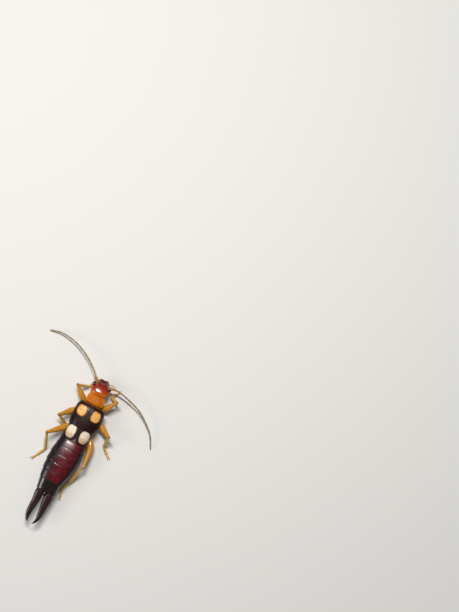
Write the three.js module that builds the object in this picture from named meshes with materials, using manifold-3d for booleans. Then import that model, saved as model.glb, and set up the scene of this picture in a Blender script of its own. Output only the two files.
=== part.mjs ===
// A life-size earwig, a female with straight slim forceps, standing on six feet.
// Millimetres, +Z up, head towards -Y, the insect's left towards +X, feet on z = 0.
// Every plate, segment and length of limb is one closed solid, parted from the next by a thin gap.

import * as THREE from 'three';
import { LoftGeometry } from 'three/addons/geometries/LoftGeometry.js';
import { mergeVertices } from 'three/addons/utils/BufferGeometryUtils.js';
import Module from 'manifold-3d';

const wasm = await Module();
wasm.setup();

// Driving sizes

const GAP = 0.07;
const WELD = 1e-5;
const TIDY = 0.012;
const DEG = Math.PI / 180;

// Sideways drift of the body's midline along its length: y, x
const MIDLINE = [ [ - 2, 0.04 ], [ 0, 0.03 ], [ 1.5, - 0.03 ], [ 3, - 0.02 ], [ 4.5, 0 ], [ 6.5, 0.07 ], [ 7.8, 0.12 ], [ 8.7, 0.06 ], [ 11.6, 0.04 ] ];

// Abdomen profile: y, half width, top height, underside height
const ABDOMEN = [
	[ 2.2, 0.86, 1.36, 0.68 ], [ 2.8, 1.0, 1.42, 0.65 ], [ 3.4, 1.12, 1.52, 0.62 ], [ 4.2, 1.2, 1.74, 0.59 ],
	[ 5.4, 1.315, 1.84, 0.56 ], [ 6.5, 1.235, 1.81, 0.6 ], [ 7.4, 1.05, 1.72, 0.68 ], [ 8.1, 0.9, 1.61, 0.78 ], [ 8.75, 0.83, 1.5, 0.88 ],
];
const SEGMENT_EDGES = [ 2.3, 3.12, 3.86, 4.62, 5.38, 6.14, 6.9, 7.63, 8.64 ];
const SEGMENT_STEP = [ [ 0, 0.925 ], [ 0.05, 0.955 ], [ 0.4, 0.978 ], [ 0.8, 1 ], [ 0.96, 1.003 ], [ 1, 0.975 ] ];

// Head capsule, from its rear edge forward: distance, half width, top height, underside height
const HEAD_REAR = - 0.38;
const HEAD_TURN = 5;
const HEAD = [
	[ 0, 0.6, 1.34, 0.86 ], [ 0.03, 0.68, 1.42, 0.77 ], [ 0.1, 0.74, 1.48, 0.68 ], [ 0.25, 0.79, 1.495, 0.63 ], [ 0.45, 0.81, 1.455, 0.61 ],
	[ 0.63, 0.775, 1.4, 0.61 ], [ 0.8, 0.7, 1.33, 0.63 ], [ 0.95, 0.58, 1.25, 0.66 ], [ 1.07, 0.44, 1.16, 0.7 ], [ 1.13, 0.33, 1.09, 0.77 ],
];
const EYE = { forward: 0.76, side: 0.69, height: 1.12, radii: [ 0.16, 0.2, 0.19 ] };
const LABRUM = [ [ 1.08, 0.24, 1.08, 0.86 ], [ 1.18, 0.26, 1.05, 0.84 ], [ 1.27, 0.21, 1.0, 0.83 ], [ 1.32, 0.12, 0.96, 0.85 ] ];
const MANDIBLE = { path: [ [ 0.42, 0.9, 0.8 ], [ 0.4, 1.1, 0.78 ], [ 0.29, 1.25, 0.76 ], [ 0.12, 1.32, 0.75 ] ], radius: [ [ 0, 0.13 ], [ 0.6, 0.11 ], [ 1, 0.05 ] ] };
const PALPS = {
	left: [ [ 0.3, 0.9, 0.66 ], [ 0.46, 1.12, 0.64 ], [ 0.6, 1.26, 0.56 ], [ 0.68, 1.36, 0.44 ] ],
	right: [ [ - 0.3, 0.9, 0.66 ], [ - 0.46, 1.09, 0.64 ], [ - 0.74, 1.15, 0.58 ], [ - 1.03, 1.13, 0.46 ] ],
};
const PALP_RADIUS = [ [ 0, 0.13 ], [ 0.5, 0.13 ], [ 0.9, 0.1 ], [ 1, 0.07 ] ];

// Antennae: path from the head out to the tip
const ANTENNAE = {
	left: [ [ 0.56, - 1.17, 1.14 ], [ 0.85, - 1.48, 1.2 ], [ 1.12, - 1.84, 1.22 ], [ 1.5, - 2.17, 1.18 ], [ 2.14, - 2.62, 1.08 ], [ 2.94, - 3.03, 0.95 ], [ 3.9, - 3.35, 0.76 ], [ 5.08, - 3.45, 0.48 ], [ 6.07, - 3.2, 0.2 ] ],
	right: [ [ - 0.36, - 1.22, 1.14 ], [ - 0.83, - 1.38, 1.2 ], [ - 1.31, - 1.42, 1.12 ], [ - 2.53, - 1.16, 0.95 ], [ - 3.57, - 0.79, 0.82 ], [ - 4.58, - 0.12, 0.62 ], [ - 5.26, 0.53, 0.42 ], [ - 5.82, 1.48, 0.2 ] ],
};
const ANTENNA_LENGTHS = { scape: [ 0, 0.115 ], inner: [ 0.115, 0.52 ], outer: [ 0.52, 1 ] };
const ANTENNA_RADIUS = [ [ 0, 0.2 ], [ 0.08, 0.23 ], [ 0.115, 0.21 ], [ 0.3, 0.2 ], [ 0.7, 0.19 ], [ 0.95, 0.15 ], [ 1, 0.09 ] ];
const ANTENNA_ARTICLES = { scape: 0, inner: 5, outer: 6 };

// Thorax and its plates
const PRONOTUM = [
	[ - 0.3, 0.6, 1.46, 1.2 ], [ - 0.27, 0.69, 1.5, 1.18 ], [ - 0.17, 0.75, 1.54, 1.16 ], [ 0.05, 0.785, 1.58, 1.16 ],
	[ 0.3, 0.78, 1.61, 1.16 ], [ 0.46, 0.72, 1.6, 1.17 ], [ 0.57, 0.6, 1.58, 1.19 ], [ 0.62, 0.46, 1.55, 1.22 ],
];
const PROTHORAX = [ [ - 0.08, 0.5, 1.4, 0.7 ], [ 0.02, 0.57, 1.42, 0.6 ], [ 0.25, 0.62, 1.42, 0.56 ], [ 0.55, 0.64, 1.4, 0.58 ] ];
const NECK = [ [ - 0.34, 0.36, 1.28, 0.84 ], [ - 0.22, 0.38, 1.3, 0.8 ], [ - 0.1, 0.4, 1.32, 0.78 ] ];
const THORAX = [ [ 0.63, 0.7, 1.5, 0.62 ], [ 0.8, 0.84, 1.55, 0.58 ], [ 1.4, 0.92, 1.6, 0.55 ], [ 2.0, 0.92, 1.6, 0.56 ], [ 2.23, 0.86, 1.5, 0.62 ] ];

// Folded fore wings: y, half width, rise above the side edge, height of that edge, thickness, inner and outer angle
const TEGMEN = [
	[ 0.6, 0.98, 0.52, 1.08, 0.4, 2.4, 84 ], [ 0.68, 1.1, 0.6, 1.08, 0.42, 2.1, 90 ], [ 0.84, 1.19, 0.67, 1.08, 0.42, 2, 95 ],
	[ 1.1, 1.25, 0.73, 1.08, 0.42, 1.9, 98 ], [ 1.65, 1.275, 0.77, 1.08, 0.42, 1.9, 100 ], [ 2.15, 1.25, 0.78, 1.08, 0.42, 1.9, 99 ],
	[ 2.5, 1.19, 0.76, 1.08, 0.42, 2, 96 ], [ 2.68, 1.14, 0.735, 1.08, 0.42, 2.1, 92 ], [ 2.75, 1.05, 0.68, 1.08, 0.38, 2.2, 88 ],
];
// Tips of the folded hind wings, in the same measures
const SQUAMA = [
	[ 2.6, 1.07, 0.62, 1.17, 0.4, 2.2, 84 ], [ 3.1, 1.06, 0.625, 1.18, 0.4, 2.2, 83 ], [ 3.4, 1.03, 0.63, 1.18, 0.4, 2.4, 80 ],
	[ 3.62, 0.99, 0.63, 1.18, 0.38, 4, 70 ], [ 3.79, 0.95, 0.63, 1.18, 0.34, 9, 58 ], [ 3.88, 0.92, 0.625, 1.18, 0.3, 17, 46 ], [ 3.92, 0.9, 0.61, 1.18, 0.24, 24, 37 ],
];

// Forceps: y, centre x, half width, centre height, half height
const FORCEPS = {
	left: [
		[ 8.6, 0.47, 0.33, 1.2, 0.25 ], [ 8.8, 0.485, 0.375, 1.19, 0.27 ], [ 9.1, 0.48, 0.375, 1.18, 0.25 ], [ 9.68, 0.445, 0.325, 1.16, 0.21 ], [ 10.29, 0.472, 0.285, 1.15, 0.19 ],
		[ 10.79, 0.478, 0.23, 1.15, 0.165 ], [ 11.15, 0.41, 0.16, 1.16, 0.13 ], [ 11.36, 0.325, 0.09, 1.18, 0.09 ], [ 11.46, 0.27, 0.04, 1.19, 0.05 ],
	],
	right: [
		[ 8.6, - 0.37, 0.33, 1.2, 0.25 ], [ 8.8, - 0.375, 0.375, 1.19, 0.27 ], [ 9.1, - 0.38, 0.385, 1.18, 0.25 ], [ 9.71, - 0.39, 0.335, 1.16, 0.21 ], [ 10.23, - 0.424, 0.275, 1.15, 0.19 ],
		[ 10.6, - 0.442, 0.23, 1.15, 0.165 ], [ 11.02, - 0.43, 0.16, 1.16, 0.13 ], [ 11.34, - 0.31, 0.09, 1.18, 0.09 ], [ 11.51, - 0.2, 0.035, 1.19, 0.045 ],
	],
};
const PYGIDIUM = { centre: [ 0.05, 8.8, 1.4 ], radii: [ 0.17, 0.22, 0.13 ] };

// Legs: where the coxa leaves the body, where the femur starts, a point along it, knee, ankle, tarsal bend and toe
const LEGS = {
	front_left: { root: [ 0.26, 0.3, 0.84 ], hip: [ 0.58, 0.6, 0.66 ], bend: [ 1.05, 0.4, 0.78 ], knee: [ 1.92, - 0.35, 1.2 ], ankle: [ 1.06, - 0.6, 0.24 ], mid: [ 0.9, - 0.95, 0.17 ], toe: [ 0.72, - 1.28, 0.16 ] },
	front_right: { root: [ - 0.22, 0.3, 0.84 ], hip: [ - 0.55, 0.6, 0.66 ], bend: [ - 0.98, 0.36, 0.78 ], knee: [ - 1.62, - 0.57, 1.25 ], ankle: [ - 1.02, - 0.68, 0.24 ], mid: [ - 1.18, - 1.0, 0.17 ], toe: [ - 1.38, - 1.3, 0.16 ] },
	middle_left: { root: [ 0.3, 1.15, 0.84 ], hip: [ 0.74, 1.25, 0.64 ], bend: [ 1.37, 1.8, 0.73 ], knee: [ 2.1, 2.53, 1.45 ], ankle: [ 1.3, 3.0, 0.24 ], mid: [ 1.15, 3.42, 0.17 ], toe: [ 0.95, 3.85, 0.16 ] },
	middle_right: { root: [ - 0.36, 1.2, 0.84 ], hip: [ - 0.8, 1.42, 0.64 ], bend: [ - 1.5, 1.83, 0.76 ], knee: [ - 2.38, 2.24, 1.5 ], ankle: [ - 2.36, 3.14, 0.24 ], mid: [ - 2.68, 3.46, 0.17 ], toe: [ - 3.1, 3.8, 0.16 ] },
	hind_left: { root: [ 0.36, 2.35, 0.84 ], hip: [ 0.72, 2.68, 0.58 ], bend: [ 1.29, 3.3, 0.7 ], knee: [ 2.28, 4.26, 1.5 ], ankle: [ 1.8, 5.58, 0.24 ], mid: [ 2.02, 6.1, 0.17 ], toe: [ 2.36, 6.7, 0.16 ] },
	hind_right: { root: [ - 0.4, 2.35, 0.84 ], hip: [ - 0.8, 2.76, 0.58 ], bend: [ - 1.44, 3.75, 0.7 ], knee: [ - 1.7, 5.45, 1.1 ], ankle: [ - 1.26, 7.24, 0.24 ], mid: [ - 1.05, 7.85, 0.17 ], toe: [ - 1.2, 8.6, 0.16 ] },
};
const LEG_RADIUS = {
	coxa: [ [ 0, 0.26 ], [ 0.6, 0.28 ], [ 1, 0.24 ] ],
	femur: [ [ 0, 0.22 ], [ 0.12, 0.26 ], [ 0.3, 0.3 ], [ 0.5, 0.285 ], [ 0.8, 0.235 ], [ 1, 0.21 ] ],
	tibia: [ [ 0, 0.19 ], [ 0.3, 0.2 ], [ 0.8, 0.21 ], [ 1, 0.19 ] ],
};
// The three tarsal joints: share of the length, radius. The second is short and lobed.
const TARSUS_RADIUS = [ [ 0, 0.17 ], [ 0.2, 0.185 ], [ 0.44, 0.19 ], [ 0.47, 0.17 ], [ 0.55, 0.225 ], [ 0.61, 0.235 ], [ 0.66, 0.17 ], [ 0.85, 0.17 ], [ 0.95, 0.185 ], [ 1, 0.15 ] ];
const CLAW = { length: 0.24, spread: 0.1, radius: 0.07 };

const COLOURS = {
	head: 0x8e1c08, eye: 0x1a0808, mouth: 0x6a2008, palp: 0xc09050, antenna: 0x6b4a22, pronotum: 0xc86e0c, thorax: 0x5a2a10,
	tegmen: 0x2a0d0c, squama: 0xd8c8a4, abdomen: 0x5c0814, tail: 0x1c070a, forceps: 0x3a0e0c, leg: 0xc88c1e,
};

// Values along a table whose first column is the place, smooth through the rest
function along( table, place ) {

	const last = table.length - 1;
	if ( place <= table[ 0 ][ 0 ] ) return table[ 0 ].slice( 1 );
	if ( place >= table[ last ][ 0 ] ) return table[ last ].slice( 1 );
	let i = 0;
	while ( table[ i + 1 ][ 0 ] < place ) i ++;
	const a = table[ i ];
	const b = table[ i + 1 ];
	const before = table[ Math.max( i - 1, 0 ) ];
	const after = table[ Math.min( i + 2, last ) ];
	const span = b[ 0 ] - a[ 0 ];
	const t = ( place - a[ 0 ] ) / span;
	return a.slice( 1 ).map( ( value, k ) => {

		const next = b[ k + 1 ];
		const slopeA = ( next - before[ k + 1 ] ) / ( b[ 0 ] - before[ 0 ] );
		const slopeB = ( after[ k + 1 ] - value ) / ( after[ 0 ] - a[ 0 ] );
		const t2 = t * t;
		const t3 = t2 * t;
		return ( 2 * t3 - 3 * t2 + 1 ) * value + ( t3 - 2 * t2 + t ) * span * slopeA + ( 3 * t2 - 2 * t3 ) * next + ( t3 - t2 ) * span * slopeB;

	} );

}

const midline = ( y ) => along( MIDLINE, y )[ 0 ];
const signedPower = ( value, power ) => Math.sign( value ) * Math.pow( Math.abs( value ), power );

// A closed solid from a three.js geometry, with its shared vertices merged and its collapsed triangles left out
function solidOf( geometry ) {

	const plain = new THREE.BufferGeometry();
	plain.setAttribute( 'position', geometry.attributes.position );
	plain.setIndex( geometry.index );
	const merged = mergeVertices( plain, WELD );
	const triangles = [];
	for ( let i = 0; i < merged.index.count; i += 3 ) {

		const [ a, b, c ] = [ 0, 1, 2 ].map( ( k ) => merged.index.getX( i + k ) );
		if ( a !== b && b !== c && a !== c ) triangles.push( a, b, c );

	}
	return new wasm.Manifold( new wasm.Mesh( {
		numProp: 3,
		vertProperties: new Float32Array( merged.attributes.position.array ),
		triVerts: new Uint32Array( triangles ),
	} ) );

}

// An end ring drawn in to its own middle: to one point, or to the seam of a crescent
function collapsed( ring, seam ) {

	if ( seam ) return ring.map( ( point, k ) => point.clone().add( ring[ ring.length - 1 - k ] ).multiplyScalar( 0.5 ) );
	const middle = new THREE.Vector3();
	ring.forEach( ( point ) => middle.add( point ) );
	middle.divideScalar( ring.length );
	return ring.map( () => middle.clone() );

}

// A loft through rings of points, closed at both ends and turned the right way out
function loft( rings, seam = false ) {

	const list = [ collapsed( rings[ 0 ], seam ), ...rings, collapsed( rings[ rings.length - 1 ], seam ) ];
	const solid = solidOf( new LoftGeometry( list ) );
	return solid.volume() > 0 ? solid : solidOf( new LoftGeometry( list.map( ( ring ) => ring.slice().reverse() ) ) );

}

// One cross-section of the body: a rounded oval with its own top and underside, widest a little below the middle
function bodyRing( y, width, top, bottom, sides, power = 2.3, widest = 0.42 ) {

	const level = bottom + widest * ( top - bottom );
	const ring = [];
	for ( let i = 0; i < sides; i ++ ) {

		const a = ( i + 0.5 ) / sides * 2 * Math.PI;
		const side = signedPower( Math.cos( a ), 2 / power );
		const rise = signedPower( Math.sin( a ), 2 / power );
		ring.push( new THREE.Vector3( width * side, y, level + rise * ( rise > 0 ? top - level : level - bottom ) ) );

	}
	return ring;

}

// A body length through a table of y, half width, top and underside, following the midline
function bodyLength( table, grow, { sides = 24, steps = 1, power = 2.3, widest = 0.42, onMidline = true } = {} ) {

	const places = [];
	for ( let i = 0; i < table.length - 1; i ++ ) {

		for ( let k = 0; k < steps; k ++ ) places.push( table[ i ][ 0 ] + ( table[ i + 1 ][ 0 ] - table[ i ][ 0 ] ) * k / steps );

	}
	places.push( table[ table.length - 1 ][ 0 ] );
	const rings = places.map( ( place, i ) => {

		const [ width, top, bottom ] = along( table, place );
		const y = place + ( i === 0 ? - grow : i === places.length - 1 ? grow : 0 );
		const ring = bodyRing( y, width + grow, top + grow, bottom - grow, sides, power, widest );
		if ( onMidline ) ring.forEach( ( point ) => { point.x += midline( place ); } );
		return ring;

	} );
	return rings;

}

// One abdominal ring, a little narrower at its front so that each overlaps the look of the next
function abdomenSegment( from, to, grow ) {

	const rings = SEGMENT_STEP.map( ( [ share, scale ], i ) => {

		const place = from + ( to - from ) * share;
		const [ width, top, bottom ] = along( ABDOMEN, place );
		const middle = ( top + bottom ) / 2;
		const half = ( top - bottom ) / 2 * scale;
		const y = place + ( i === 0 ? - grow : i === SEGMENT_STEP.length - 1 ? grow : 0 );
		const ring = bodyRing( y, width * scale + grow, middle + half + grow, middle - half - grow, 24 );
		ring.forEach( ( point ) => { point.x += midline( place ); } );
		return ring;

	} );
	return loft( rings );

}

// A curved wing plate: an arc of an oval shell between two angles from the midline
function wingPlate( table, side, grow ) {

	const arc = 12;
	const power = 2 / 2.25;
	const rings = table.map( ( [ y, width, rise, base, thick, from, to ], i ) => {

		const ring = [];
		const turn = grow / width / DEG;
		const place = ( share, inset ) => {

			const a = ( from - turn + ( to - from + 2 * turn ) * share ) * DEG;
			const x = ( width - inset ) * signedPower( Math.sin( a ), power );
			const z = base + ( rise - inset ) * signedPower( Math.cos( a ), power );
			return new THREE.Vector3( midline( y ) + side * x, y + ( i === 0 ? - grow : i === table.length - 1 ? grow : 0 ), z );

		};
		for ( let k = 0; k <= arc; k ++ ) ring.push( place( k / arc, - grow ) );
		for ( let k = arc; k >= 0; k -- ) ring.push( place( k / arc, thick + grow ) );
		return ring;

	} );
	return loft( rings, true );

}

// A ball stretched along the three axes
function ball( centre, radii, grow, detail = [ 16, 12 ] ) {

	const sphere = new THREE.SphereGeometry( 1, ...detail );
	sphere.scale( radii[ 0 ] + grow, radii[ 1 ] + grow, radii[ 2 ] + grow );
	sphere.translate( ...centre );
	return solidOf( sphere );

}

// A limb along a smooth path, with a radius that changes along it and rounded ends
function limb( path, radius, grow, { from = 0, to = 1, steps = 8, sides = 10, places = null, shape = () => 1 } = {} ) {

	const curve = new THREE.CatmullRomCurve3( path.map( ( p ) => new THREE.Vector3( ...p ) ), false, 'centripetal' );
	curve.arcLengthDivisions = 400;
	const shares = places ?? Array.from( { length: steps + 1 }, ( _, i ) => i / steps );
	const rings = [];
	let side = new THREE.Vector3( 0, 0, 1 );
	shares.forEach( ( share, i ) => {

		const place = from + ( to - from ) * share;
		const centre = curve.getPointAt( place );
		const tangent = curve.getTangentAt( place );
		side = side.clone().addScaledVector( tangent, - side.dot( tangent ) ).normalize();
		const across = new THREE.Vector3().crossVectors( tangent, side );
		const size = along( radius, place )[ 0 ] * shape( share ) + grow;
		const add = ( shift, scale ) => {

			const ring = [];
			for ( let k = 0; k < sides; k ++ ) {

				const a = ( k + 0.5 ) / sides * 2 * Math.PI;
				const offset = side.clone().multiplyScalar( Math.sin( a ) ).addScaledVector( across, - Math.cos( a ) );
				ring.push( centre.clone().addScaledVector( tangent, shift * size ).addScaledVector( offset, size * scale ) );

			}
			rings.push( ring );

		};
		const cap = [ 76, 50, 24 ];
		if ( i === 0 ) cap.forEach( ( c ) => add( - Math.sin( c * DEG ), Math.cos( c * DEG ) ) );
		add( 0, 1 );
		if ( i === shares.length - 1 ) cap.slice().reverse().forEach( ( c ) => add( Math.sin( c * DEG ), Math.cos( c * DEG ) ) );

	} );
	return loft( rings );

}

// A point of the head from its side offset (left positive), distance forward and height
function headPoint( side, forward, height ) {

	const turn = HEAD_TURN * DEG;
	return [ midline( HEAD_REAR ) + side * Math.cos( turn ) + forward * Math.sin( turn ), HEAD_REAR - forward * Math.cos( turn ) + side * Math.sin( turn ), height ];

}

// A length of the head, in the head's own turned frame
function headLength( table, grow, options ) {

	const rings = bodyLength( table, grow, { ...options, onMidline: false } );
	return loft( rings.map( ( ring ) => ring.map( ( p ) => new THREE.Vector3( ...headPoint( p.x, p.y, p.z ) ) ) ) );

}

const floor = new THREE.BoxGeometry( 60, 60, 4 );
floor.translate( 0, 0, - 2 );
const below = solidOf( floor );

// Each solid is cut by those set before it, grown by the gap, so that no two ever touch
const placed = [];

function boxesMeet( a, b ) {

	return [ 0, 1, 2 ].every( ( k ) => a.min[ k ] <= b.max[ k ] && b.min[ k ] <= a.max[ k ] );

}

function largest( solid ) {

	const pieces = solid.decompose();
	pieces.sort( ( a, b ) => b.volume() - a.volume() );
	return pieces[ 0 ];

}

function place( name, colour, roughness, make ) {

	let solid = make( 0 );
	const box = solid.boundingBox();
	for ( const other of placed ) {

		if ( boxesMeet( box, other.grown.boundingBox() ) ) solid = solid.subtract( other.grown );

	}
	if ( box.min[ 2 ] < 0.01 ) solid = solid.subtract( below );
	solid = largest( solid ).simplify( TIDY );
	solid = largest( solid );
	placed.push( { name, grown: make( GAP ) } );

	const mesh = solid.getMesh();
	const geometry = new THREE.BufferGeometry();
	geometry.setAttribute( 'position', new THREE.BufferAttribute( new Float32Array( mesh.vertProperties ), 3 ) );
	geometry.setIndex( Array.from( mesh.triVerts ) );
	geometry.computeBoundingBox();
	const centre = geometry.boundingBox.getCenter( new THREE.Vector3() );
	geometry.translate( - centre.x, - centre.y, - centre.z );
	geometry.computeVertexNormals();
	const node = new THREE.Mesh( geometry, new THREE.MeshStandardMaterial( { color: colour, roughness, metalness: 0 } ) );
	node.name = name;
	node.position.copy( centre );
	return node;

}

const insect = new THREE.Group();
const SIDES = [ [ 'left', 1 ], [ 'right', - 1 ] ];

// Head, eyes and mouth
for ( const [ name, side ] of SIDES ) {

	insect.add( place( `eye_${ name }`, COLOURS.eye, 0.2, ( grow ) => ball( headPoint( side * EYE.side, EYE.forward, EYE.height ), EYE.radii, grow ) ) );

}
insect.add( place( 'head', COLOURS.head, 0.25, ( grow ) => headLength( HEAD, grow, { sides: 28, power: 2.4 } ) ) );
insect.add( place( 'labrum', COLOURS.mouth, 0.3, ( grow ) => headLength( LABRUM, grow, { sides: 14 } ) ) );
for ( const [ name, side ] of SIDES ) {

	const path = MANDIBLE.path.map( ( [ s, f, z ] ) => headPoint( side * s, f, z ) );
	insect.add( place( `mandible_${ name }`, COLOURS.mouth, 0.3, ( grow ) => limb( path, MANDIBLE.radius, grow, { sides: 10, steps: 5 } ) ) );

}

// Thorax: shield, underbody, neck and folded wings
insect.add( place( 'pronotum', COLOURS.pronotum, 0.35, ( grow ) => loft( bodyLength( PRONOTUM, grow, { sides: 26, power: 2.5, widest: 0.4 } ) ) ) );
insect.add( place( 'prothorax', COLOURS.thorax, 0.5, ( grow ) => loft( bodyLength( PROTHORAX, grow, { sides: 18 } ) ) ) );
insect.add( place( 'neck', COLOURS.thorax, 0.6, ( grow ) => loft( bodyLength( NECK, grow, { sides: 16 } ) ) ) );
for ( const [ name, side ] of SIDES ) {

	insect.add( place( `tegmen_${ name }`, COLOURS.tegmen, 0.25, ( grow ) => wingPlate( TEGMEN, side, grow ) ) );

}
for ( const [ name, side ] of SIDES ) {

	insect.add( place( `squama_${ name }`, COLOURS.squama, 0.4, ( grow ) => wingPlate( SQUAMA, side, grow ) ) );

}
insect.add( place( 'thorax', COLOURS.thorax, 0.5, ( grow ) => loft( bodyLength( THORAX, grow, { sides: 20 } ) ) ) );

// Abdomen, one solid for each ring, and the forceps
for ( let i = 0; i < SEGMENT_EDGES.length - 1; i ++ ) {

	const colour = i === SEGMENT_EDGES.length - 2 ? COLOURS.tail : COLOURS.abdomen;
	insect.add( place( `abdomen_${ i + 1 }`, colour, 0.22, ( grow ) => abdomenSegment( SEGMENT_EDGES[ i ], SEGMENT_EDGES[ i + 1 ], grow ) ) );

}
insect.add( place( 'pygidium', COLOURS.tail, 0.3, ( grow ) => ball( PYGIDIUM.centre, PYGIDIUM.radii, grow, [ 12, 8 ] ) ) );
for ( const [ name ] of SIDES ) {

	insect.add( place( `forceps_${ name }`, COLOURS.forceps, 0.25, ( grow ) => {

		const table = FORCEPS[ name ];
		const rings = table.map( ( [ y, x, width, height, half ], i ) => {

			const end = i === 0 ? - grow : i === table.length - 1 ? grow : 0;
			const ring = bodyRing( y + end, width + grow, height + half + grow, height - half - grow, 16, 2.2, 0.5 );
			ring.forEach( ( point ) => { point.x += x; } );
			return ring;

		} );
		return loft( rings );

	} ) );

}

// Feelers: each antenna in three lengths, its joints ringed, and the palps of the mouth
for ( const [ name ] of SIDES ) {

	for ( const length of [ 'scape', 'inner', 'outer' ] ) {

		const [ from, to ] = ANTENNA_LENGTHS[ length ];
		const count = ANTENNA_ARTICLES[ length ];
		const places = [ 0 ];
		for ( let i = 0; i < count; i ++ ) places.push( ( i + 0.3 ) / count, ( i + 0.8 ) / count, ( i + 1 ) / count );
		if ( count === 0 ) places.push( 0.3, 0.7, 1 );
		const shape = ( share ) => ( count > 0 && Math.abs( share * count - Math.round( share * count ) ) < 1e-6 && share < 0.999 && share > 0.001 ? 0.84 : 1 );
		insect.add( place( `antenna_${ name }_${ length }`, COLOURS.antenna, 0.5,
			( grow ) => limb( ANTENNAE[ name ], ANTENNA_RADIUS, grow, { from, to, places, sides: 9, shape } ) ) );

	}

}
for ( const [ name ] of SIDES ) {

	const path = PALPS[ name ].map( ( p ) => headPoint( ...p ) );
	insect.add( place( `palp_${ name }`, COLOURS.palp, 0.5, ( grow ) => limb( path, PALP_RADIUS, grow, { sides: 9, steps: 7 } ) ) );

}

// Legs: coxa, femur, tibia and tarsus, the tarsi flat where they stand
for ( const [ name, leg ] of Object.entries( LEGS ) ) {

	insect.add( place( `leg_${ name }_coxa`, COLOURS.leg, 0.4, ( grow ) => limb( [ leg.root, leg.hip ], LEG_RADIUS.coxa, grow, { steps: 3, sides: 12 } ) ) );
	insect.add( place( `leg_${ name }_femur`, COLOURS.leg, 0.4, ( grow ) => limb( [ leg.hip, leg.bend, leg.knee ], LEG_RADIUS.femur, grow, { steps: 7, sides: 12 } ) ) );
	insect.add( place( `leg_${ name }_tibia`, COLOURS.leg, 0.4, ( grow ) => limb( [ leg.knee, leg.ankle ], LEG_RADIUS.tibia, grow, { steps: 4, sides: 10 } ) ) );
	insect.add( place( `leg_${ name }_tarsus`, COLOURS.leg, 0.45, ( grow ) => {

		const path = [ leg.ankle, leg.mid, leg.toe ];
		const places = TARSUS_RADIUS.map( ( row ) => row[ 0 ] );
		let foot = limb( path, TARSUS_RADIUS, grow, { places, sides: 12 } );
		const toe = new THREE.Vector3( ...leg.toe );
		const ahead = toe.clone().sub( new THREE.Vector3( ...leg.mid ) ).setZ( 0 ).normalize();
		const across = new THREE.Vector3( - ahead.y, ahead.x, 0 );
		for ( const turn of [ 1, - 1 ] ) {

			const start = toe.clone().addScaledVector( across, turn * 0.05 );
			const middle = toe.clone().addScaledVector( ahead, CLAW.length * 0.75 ).addScaledVector( across, turn * CLAW.spread ).setZ( 0.15 );
			const end = toe.clone().addScaledVector( ahead, CLAW.length ).addScaledVector( across, turn * CLAW.spread * 1.15 ).setZ( 0.08 );
			const claw = [ start, middle, end ].map( ( p ) => p.toArray() );
			foot = foot.add( limb( claw, [ [ 0, CLAW.radius * 1.2 ], [ 0.6, CLAW.radius ], [ 1, CLAW.radius * 0.5 ] ], grow, { steps: 3, sides: 6 } ) );

		}
		return foot;

	} ) );

}

// The origin is the middle of the insect's footprint box, on the floor
const bounds = new THREE.Box3().setFromObject( insect );
const centre = bounds.getCenter( new THREE.Vector3() );
insect.position.set( - centre.x, - centre.y, - bounds.min.z );

const model = new THREE.Group();
model.add( insect );

export default model;
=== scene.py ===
import math

import bpy
import numpy as np
from mathutils import Matrix


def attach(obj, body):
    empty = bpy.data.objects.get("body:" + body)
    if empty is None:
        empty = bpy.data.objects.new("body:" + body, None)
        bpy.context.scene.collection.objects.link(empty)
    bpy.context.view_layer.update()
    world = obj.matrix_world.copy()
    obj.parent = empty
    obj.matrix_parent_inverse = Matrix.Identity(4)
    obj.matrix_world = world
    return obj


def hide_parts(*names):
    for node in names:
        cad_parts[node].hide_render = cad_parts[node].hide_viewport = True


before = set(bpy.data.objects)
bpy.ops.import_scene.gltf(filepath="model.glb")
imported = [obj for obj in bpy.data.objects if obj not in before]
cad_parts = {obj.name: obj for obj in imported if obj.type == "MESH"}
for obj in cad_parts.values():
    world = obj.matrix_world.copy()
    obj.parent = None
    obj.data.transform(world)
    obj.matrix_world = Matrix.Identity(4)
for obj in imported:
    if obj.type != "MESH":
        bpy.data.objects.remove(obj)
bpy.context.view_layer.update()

MM = 0.001
DEG = math.pi / 180
SIDES = {"left": 1, "right": -1}
DRAW = np.random.default_rng(7)

# The insect is measured from the middle of its pronotum, and the frame from the middle of its footprint box
FRAME_SHIFT = np.array([-0.12511, -3.9352, 0.0])

# The body's midline drifts sideways along its length: y, x
MIDLINE = [
    (-2, 0.04), (0, 0.03), (1.5, -0.03), (3, -0.02), (4.5, 0), (6.5, 0.07), (7.8, 0.12),
    (8.7, 0.06), (11.6, 0.04),
]

# Abdomen: y, half width, top height, underside height
ABDOMEN = [
    (2.2, 0.86, 1.36, 0.68), (2.8, 1.0, 1.42, 0.65), (3.4, 1.12, 1.52, 0.62), (4.2, 1.2, 1.74, 0.59),
    (5.4, 1.315, 1.84, 0.56), (6.5, 1.235, 1.81, 0.6), (7.4, 1.05, 1.72, 0.68), (8.1, 0.9, 1.61, 0.78),
    (8.75, 0.83, 1.5, 0.88),
]
SEGMENT_EDGES = [2.3, 3.12, 3.86, 4.62, 5.38, 6.14, 6.9, 7.63, 8.64]
TAIL_RING = len(SEGMENT_EDGES) - 1
# Size of a ring along its length: share of the length, share of the abdomen's own size
RING_SCALE = [(-0.16, 0.915), (0, 0.94), (0.06, 0.96), (0.4, 0.98), (0.8, 0.995), (1, 0.998)]
RING_LIP = [(1.012, 0.992), (1.012, 0.978), (1.0, 0.962), (0.94, 0.93)]
TAIL_SCALE = [
    (-0.12, 0.9), (0, 0.925), (0.05, 0.952), (0.4, 0.972), (0.85, 0.99), (0.96, 0.985), (1, 0.955),
]
TAIL_LIP = [(1.0, 0.92), (0.97, 0.86)]
PYGIDIUM = (0.05, 8.8, 1.4)
PYGIDIUM_RADII = (0.15, 0.2, 0.11)

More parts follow.
